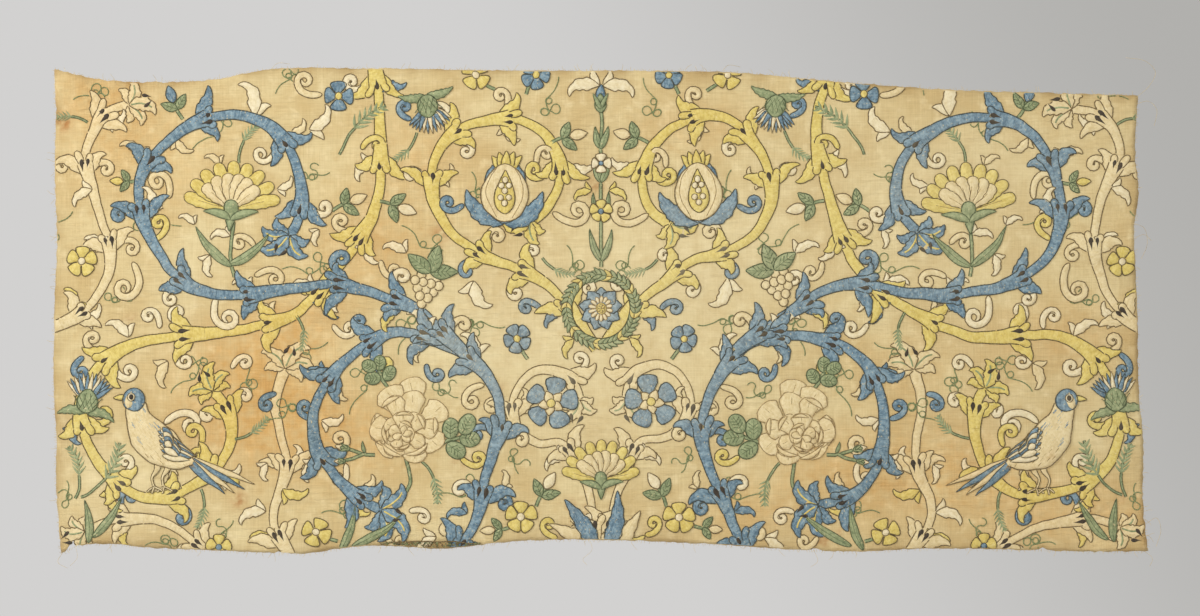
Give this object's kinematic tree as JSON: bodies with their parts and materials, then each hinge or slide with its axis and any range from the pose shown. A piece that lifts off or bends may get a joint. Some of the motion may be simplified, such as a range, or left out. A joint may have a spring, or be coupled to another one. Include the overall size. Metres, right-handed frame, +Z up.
{
  "type": "textile wall hanging",
  "caption": "Old embroidered linen panel with raw cut edges, hung flat by its top edge, worked in silk with scrolling stems, flowers, leaves and birds.",
  "frame": {"origin": "middle of the top edge, on the wall's surface", "axes": "+X to the right along the top edge, +Z up, and the worked face towards -Y, with the wall at y = 0"},
  "size_m": [1.0913, 0.0083, 0.485],
  "materials": {
    "linen": "plain-woven linen, aged to cream and tan, with warm patches and small rust spots",
    "blue_silk": "laid floss silk, mid blue, worn lighter in streaks",
    "yellow_silk": "laid floss silk, straw yellow",
    "cream_silk": "laid floss silk, cream",
    "ivory_silk": "laid floss silk, ivory white",
    "green_silk": "laid floss silk, faded sage green",
    "brown_silk": "twisted silk in stem stitch, dark olive brown"
  },
  "bodies": {
    "root": {"embroidered_linen": "linen"}
  },
  "joints": []
}
